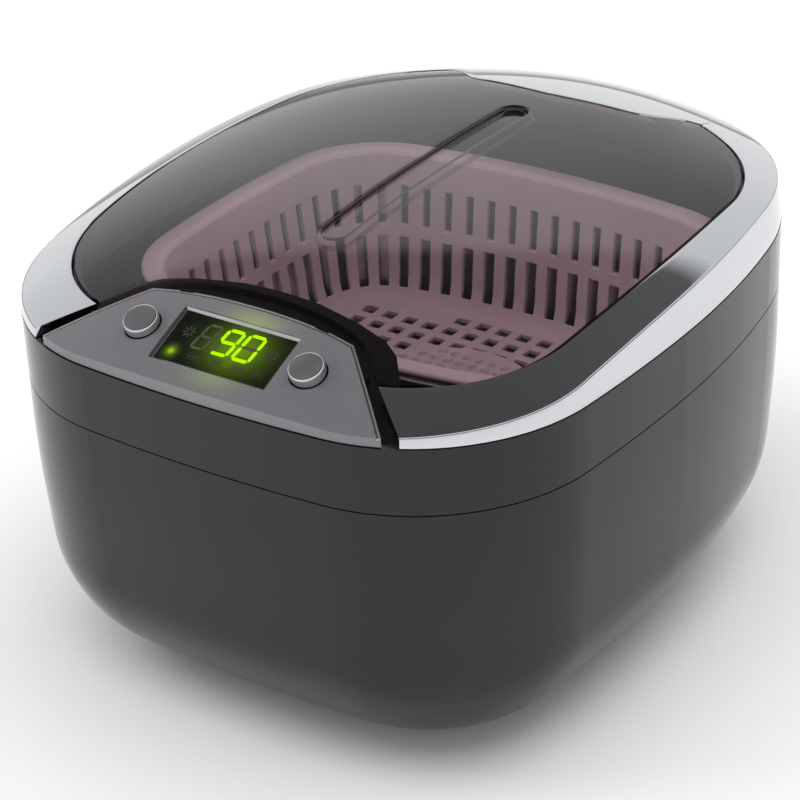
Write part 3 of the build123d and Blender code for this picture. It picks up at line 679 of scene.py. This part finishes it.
rim_pts = [(3.9, 94.2), (3.75, 95.3), (3.3, 96.05), (2.5, 96.42), (1.4, 96.5), (-1.6, 96.5), (-2.2, 96.38), (-2.55, 96.0),
           (-2.6, 95.5), (-2.45, 95.15), (-2.0, 95.02), (1.4, 95.0), (1.9, 94.8), (2.15, 94.2)]
tank_loop = full(TANK, 1.5)
rows = [[(x - nx * d, y - ny * d, z) for x, y, nx, ny in tank_loop] for d, z in rim_pts]
nt_ = len(tank_loop)
rv = [p for r in rows for p in r]
rf = grid_faces(len(rows), nt_, True) + [((len(rows) - 1) * nt_ + j, (len(rows) - 1) * nt_ + (j + 1) % nt_, (j + 1) % nt_, j) for j in range(nt_)]
settle(new_object("basket_rim", rv, rf, BASKET, sharp=60), "basket", "basket_plastic")

HP, HW = 7.2, 4.2
PR, PY, LIPY, PZ = 31.0, 1.0, 9.7, 53.2
xs, ys = [], []
for i in range(-8, 9):
    xs += [i * HP - HW / 2, i * HP + HW / 2]
for j in range(-7, 8):
    ys += [6.0 + j * HP - HW / 2, 6.0 + j * HP + HW / 2]
inner_loop = [(x - nx * 14.0, y - ny * 14.0) for x, y, nx, ny in full(TANK, 2.0)]
outer_loop = [(x - nx * 12.8, y - ny * 12.8) for x, y, nx, ny in full(TANK, 2.0)]


def inside(px, py, loop):
    c = False
    for (x0, y0), (x1, y1) in zip(loop, loop[1:] + loop[:1]):
        if (y0 > py) != (y1 > py) and px < (x1 - x0) * (py - y0) / (y1 - y0) + x0:
            c = not c
    return c


def lattice(i, j):
    x0, x1, y0, y1 = xs[j], xs[j + 1], ys[i], ys[i + 1]
    if not inside((x0 + x1) / 2, (y0 + y1) / 2, outer_loop):
        return False
    corners = [(a, b) for a in (x0, x1) for b in (y0, y1)]
    if j % 2 == 0 and i % 2 == 0 and all(inside(a, b, inner_loop) for a, b in corners):
        clear = all(math.hypot(a, b - PY) > PR + 0.6 for a, b in corners) or all(b < LIPY - 1.8 for a, b in corners)
        return not clear
    return True


OL = [[(x, y, 48.55) for x in xs] for y in ys]
IL = [[(x, y, 50.2) for x in xs] for y in ys]
lv, lf = cell_shell(OL, IL, lattice, False)
settle(soften(new_object("basket_floor", lv, lf, BASKET, sharp=50), 0.3), "basket", "basket_plastic")

# raised half-round plateau with round dimples
nxp, nyp = 170, 74
top_rows = []
XM = math.sqrt(PR * PR - (LIPY - PY) ** 2) - 0.05


def dimple(x, y):
    best = 9.0
    row = round((y - 13.0) / 4.2)
    for r in (row - 1, row, row + 1):
        cy = 13.0 + r * 4.2
        cx = round(x / 4.3) * 4.3
        if math.hypot(cx, cy - PY) < PR - 2.8 and cy > LIPY + 1.8:
            best = min(best, math.hypot(x - cx, y - cy))
    t = min(1.0, max(0.0, (1.45 - best) / 0.4))
    return 1.3 * t * t * (3 - 2 * t)


for i in range(nyp):
    r = []
    for j in range(nxp):
        x = -XM + 2 * XM * j / (nxp - 1)
        y1 = PY + math.sqrt(max(0.0, PR * PR - x * x))
        y = LIPY + (y1 - LIPY) * i / (nyp - 1)
        e = min(1.0, (PR - math.hypot(x, y - PY)) / 0.9)
        r.append((x, y, PZ - dimple(x, y) - 0.55 * (1 - max(0.0, e)) ** 2))
    top_rows.append(r)
bottom = [[(x, y, 50.0) for x, y, z in r] for r in top_rows]
pv, pf = cell_shell(bottom, top_rows, lambda i, j: True, False)
settle(new_object("basket_plateau", pv, pf, BASKET, sharp=55), "basket", "basket_plastic")
lip_rows = []
for d, z in ((0.3, 48.6), (0.3, 52.8), (0.5, 53.1), (1.1, 53.15), (1.4, 52.9), (1.4, 48.6)):
    lip_rows.append([(-XM - 0.6 + (2 * XM + 1.2) * k / 24, 8.5 + d, z) for k in range(25)])
lpv = [p for r in lip_rows for p in r]
lpf = grid_faces(6, 25) + [tuple(k for k in (5 * 25 + j, 5 * 25 + j + 1, j + 1, j)) for j in range(24)]
lpf += [tuple(i * 25 for i in range(6)), tuple(i * 25 + 24 for i in reversed(range(6)))]
settle(new_object("basket_plateau_lip", lpv, lpf, BASKET, sharp=50), "basket", "basket_plastic")

# ---------------------------------------------------------------- buttons: turned cap with a bright rim and a satin face
def lathe(name, x, profile, mat, n=96):
    verts, faces = [], []
    for r, h in profile:
        for k in range(n):
            a = 2 * math.pi * k / n
            verts.append(panel(x + r * math.cos(a), r * math.sin(a), h))
    faces = grid_faces(len(profile), n, True)
    if profile[0][0] > 0:
        faces.append(tuple(reversed(range(n))))
    if profile[-1][0] > 0:
        faces.append(tuple((len(profile) - 1) * n + k for k in range(n)))
    return new_object(name, verts, faces, mat)


for x, name in ((-26.1, "on_off_button"), (26.1, "set_button")):
    rim_prof = [(2.4, -6.05), (2.4, -3.2), (6.05, -3.2), (6.05, -2.25), (4.8, -2.2), (4.8, 1.55), (4.78, 2.0), (4.71, 2.35),
                (4.6, 2.6), (4.48, 2.74), (4.36, 2.78), (4.3, 2.72)]
    b = lathe(f"{name}_rim", x, rim_prof, CHROME)
    settle(b, name, "button_chrome", name)
    face_prof = [(4.33, 2.4), (4.33, 2.68), (4.2, 2.78), (3.9, 2.82), (2.4, 2.86), (1.2, 2.88), (0.02, 2.89)]
    settle(lathe(f"{name}_face", x, face_prof, BUTTON_TOP), name, "button_chrome")

# ---------------------------------------------------------------- display: segments and icons on the face
H_SEG = -0.44


def plate_of(name, polys, mat, h=H_SEG, t=0.05):
    verts, faces = [], []
    for poly in polys:
        o, n = len(verts), len(poly)
        verts += [panel(x, v, h) for x, v in poly] + [panel(x, v, h - t) for x, v in poly]
        faces.append(tuple(range(o, o + n)))
        faces.append(tuple(reversed(range(o + n, o + 2 * n))))
        faces += [(o + k, o + n + k, o + n + (k + 1) % n, o + (k + 1) % n) for k in range(n)]
    ob = new_object(name, verts, faces, mat, smooth=False)
    return settle(ob, "housing", "display_window")


def bar(a, b, w, gap):
    ax, ay = a
    bx, by = b
    L = math.hypot(bx - ax, by - ay)
    ux, uy = (bx - ax) / L, (by - ay) / L
    ax, ay, bx, by = ax + ux * gap, ay + uy * gap, bx - ux * gap, by - uy * gap
    nx, ny, h = -uy, ux, w / 2
    return [(ax, ay), (ax + ux * h + nx * h, ay + uy * h + ny * h), (bx - ux * h + nx * h, by - uy * h + ny * h),
            (bx, by), (bx - ux * h - nx * h, by - uy * h - ny * h), (ax + ux * h - nx * h, ay + uy * h - ny * h)]


def digit(tl, tr, bl, br, w, gap=0.12):
    ml, mr = ((tl[0] + bl[0]) / 2, (tl[1] + bl[1]) / 2), ((tr[0] + br[0]) / 2, (tr[1] + br[1]) / 2)
    return {"a": bar(tl, tr, w, gap), "b": bar(tr, mr, w, gap), "c": bar(mr, br, w, gap), "d": bar(bl, br, w, gap),
            "e": bar(ml, bl, w, gap), "f": bar(tl, ml, w, gap), "g": bar(ml, mr, w, gap)}


d8 = digit((-8.3, 5.9), (-4.4, 6.2), (-9.7, -2.0), (-5.9, -1.9), 0.8)
d9 = digit((-2.1, 6.2), (2.5, 6.3), (-3.3, -1.9), (1.4, -1.8), 1.0)
d0 = digit((4.4, 6.4), (9.0, 6.4), (3.3, -1.9), (8.3, -1.8), 1.0)
plate_of("digits_lit", [d9[k] for k in "abcdfg"] + [d0[k] for k in "abcdef"], DIGIT_ON)
plate_of("digits_unlit", [d8[k] for k in "abcdefg"] + [d9["e"], d0["g"]], DIGIT_OFF)
icons = []
for cx, cy in ((-12.7, 2.2), (13.3, 2.4)):
    for k in range(8):
        a = 2 * math.pi * k / 8 + 0.2
        p = lambda r, da: (cx + r * math.cos(a + da), cy + r * math.sin(a + da))
        icons.append([p(0.55, -0.35), p(1.35, -0.30), p(1.95, 0.0), p(1.9, 0.2), p(1.2, 0.12), p(0.55, 0.1)])
for cx, cy in ((-6.9, -4.7), (-0.1, -4.3), (6.9, -4.2), (12.9, -4.4)):
    w, h, b = 1.75, 1.05, 0.16
    icons += [[(cx - w, cy - h), (cx + w, cy - h), (cx + w, cy - h + b), (cx - w, cy - h + b)],
              [(cx - w, cy + h - b), (cx + w, cy + h - b), (cx + w, cy + h), (cx - w, cy + h)],
              [(cx - w, cy - h + b), (cx - w + b, cy - h + b), (cx - w + b, cy + h - b), (cx - w, cy + h - b)],
              [(cx + w - b, cy - h + b), (cx + w, cy - h + b), (cx + w, cy + h - b), (cx + w - b, cy + h - b)]]
    for k in range(3):
        xx = cx - 0.95 + 0.95 * k
        icons.append([(xx - 0.28, cy - 0.45), (xx + 0.28, cy - 0.45), (xx + 0.28, cy + 0.45), (xx - 0.28, cy + 0.45)])
plate_of("icons_unlit", icons, ICON_OFF)

# bevelled bright frame round the display opening
def frame_ring(name, outer, inner, heights, mat, body, slot):
    (ax0, ax1, av0, av1), (bx0, bx1, bv0, bv1) = outer, inner
    rect = lambda x0, x1, v0, v1: [(x0, v0), (x1, v0), (x1, v1), (x0, v1)]
    lerp = lambda t: rect(ax0 + (bx0 - ax0) * t, ax1 + (bx1 - ax1) * t, av0 + (bv0 - av0) * t, av1 + (bv1 - av1) * t)
    rows = [[panel(x, v, h) for x, v in lerp(t)] for t, h in heights]
    verts = [p for r in rows for p in r]
    faces = grid_faces(len(rows), 4, True) + [((len(rows) - 1) * 4 + j, (len(rows) - 1) * 4 + (j + 1) % 4, (j + 1) % 4, j) for j in range(4)]
    return settle(new_object(name, verts, faces, mat, smooth=False), body, slot)


BEZEL = surface("bezel_metal", (0.42, 0.42, 0.43), (0.5, 0.5, 0.51), 0.16, 0.26, metallic=1.0, scale=80.0)
frame_ring("display_bezel", (-18.28, 18.28, -8.88, 9.28), (-17.45, 17.45, -8.05, 8.45),
           ((0.0, -1.6), (0.0, 0.02), (0.12, 0.06), (0.95, -0.42), (1.0, -0.52), (1.0, -1.6)), BEZEL, "housing", "silver_panel")

# fine raised bead just inside the panel plate's edge: the real embossed border, given the brighter bezel metal as a
# painted highlight line along the edge
PLATE_EDGE = [(0.0, -76.7), (5.0, -76.7), (14.0, -76.95), (24.0, -77.6), (31.8, -78.7), (53.2, -98.8)]
edge_r = []
for (x0, y0), (x1, y1) in zip(PLATE_EDGE, PLATE_EDGE[1:]):
    n = max(2, int(math.hypot(x1 - x0, y1 - y0) / 0.8))
    edge_r += [(x0 + (x1 - x0) * k / n, y0 + (y1 - y0) * k / n) for k in range(n)]
edge_r.append(PLATE_EDGE[-1])
edge = [(-x, y) for x, y in reversed(edge_r[1:])] + edge_r


def bead(name, line, off, width, height, mat):
    n, rows = len(line), []
    for k, (x, y) in enumerate(line):
        a, b = line[max(0, k - 1)], line[min(n - 1, k + 1)]
        tx, ty = b[0] - a[0], b[1] - a[1]
        L = math.hypot(tx, ty)
        ix, iy = ty / L, -tx / L
        rows.append([(x + ix * (off + d), y + iy * (off + d), dome_z(x + ix * (off + d), y + iy * (off + d)) + h)
                     for d, h in ((0.0, -0.4), (0.0, height * 0.5), (width * 0.3, height), (width * 0.7, height), (width, height * 0.5), (width, -0.4))])
    c = 6
    verts = [p for r in rows for p in r]
    faces = grid_faces(n, c) + [(k * c, (k + 1) * c, (k + 1) * c + c - 1, k * c + c - 1) for k in range(n - 1)]
    faces += [tuple(range(c)), tuple((n - 1) * c + k for k in reversed(range(c)))]
    return new_object(name, verts, faces, mat)


# painted highlight: the bead uses the bezel metal, brighter than the plate's own paint
settle(bead("panel_bead_painted_highlight", edge, 0.45, 0.45, 0.10, BEZEL), "housing", "silver_panel")

# ---------------------------------------------------------------- floor, light, camera
floor_me = bpy.data.meshes.new("floor")
bm = bmesh.new()
bmesh.ops.create_circle(bm, cap_ends=True, segments=96, radius=6.0)
bm.to_mesh(floor_me)
bm.free()
floor = bpy.data.objects.new("floor", floor_me)
bpy.context.scene.collection.objects.link(floor)
FLOOR = surface("pale_floor", (0.86, 0.86, 0.86), (0.88, 0.88, 0.88), 0.65, 0.75, scale=2.0, grain=60.0, strength=0.02)
floor_me.materials.append(FLOOR)

world = bpy.data.worlds.new("studio")
bpy.context.scene.world = world
world.use_nodes = True
nt = world.node_tree
bg = nt.nodes["Background"]
tc = node(nt, "ShaderNodeTexCoord")
sep = node(nt, "ShaderNodeSeparateXYZ")
link(nt, tc.outputs["Generated"], sep.inputs[0])
# brightness by height: bright round the horizon, falling to a dim ceiling
link(nt, ramp(nt, sep.outputs["Z"], [(0.0, (1.0, 1.0, 1.0)), (0.30, (0.98, 0.985, 0.995)), (0.615, (0.80, 0.81, 0.825)), (0.655, (0.125, 0.125, 0.127)), (1.0, (0.08, 0.08, 0.081))]), bg.inputs["Color"])
bg.inputs["Strength"].default_value = 1.0


def area(name, loc, aim, size, power, colour=(1, 1, 1), size_y=None):
    l = bpy.data.lights.new(name, "AREA")
    l.energy, l.color, l.size = power, colour, size
    if size_y:
        l.shape, l.size_y = "RECTANGLE", size_y
    ob = bpy.data.objects.new(name, l)
    ob.location = loc
    ob.rotation_mode = "QUATERNION"
    ob.rotation_quaternion = (Vector(aim) - Vector(loc)).to_track_quat("-Z", "Y")
    bpy.context.scene.collection.objects.link(ob)
    ob.visible_glossy = False
    return ob


area("soft_top", (0.15, -0.1, 1.3), (0, 0, 0.08), 1.5, 15.0)
area("soft_left", (-0.9, -0.5, 0.9), (0, 0, 0.08), 0.7, 5.0, (1, 0.99, 0.98))
area("soft_back", (0.3, 1.2, 0.9), (0, 0, 0.08), 1.0, 6.0, (0.97, 0.98, 1.0))

A, E, DIST, ROLL = 35.4696 * D2R, 28.7578 * D2R, 0.73736, -2.4537 * D2R
back = Vector((math.sin(A) * math.cos(E), -math.cos(A) * math.cos(E), math.sin(E)))
right = Vector((math.cos(A), math.sin(A), 0))
up = back.cross(right)
r2 = right * math.cos(ROLL) + up * math.sin(ROLL)
u2 = -right * math.sin(ROLL) + up * math.cos(ROLL)
loc = Vector((0.02671, -0.05278, 0.08668)) + back * DIST
cam_data = bpy.data.cameras.new("camera")
cam_data.lens, cam_data.sensor_width = 127.75, 36.0
cam_data.clip_start, cam_data.clip_end = 0.05, 30.0
cam = bpy.data.objects.new("camera", cam_data)
bpy.context.scene.collection.objects.link(cam)
m = Matrix((r2, u2, back)).transposed().to_4x4()
m.translation = loc
cam.matrix_world = m
bpy.context.scene.camera = cam
bpy.context.scene.view_settings.view_transform = "Standard"
bpy.context.scene.view_settings.look = "None"
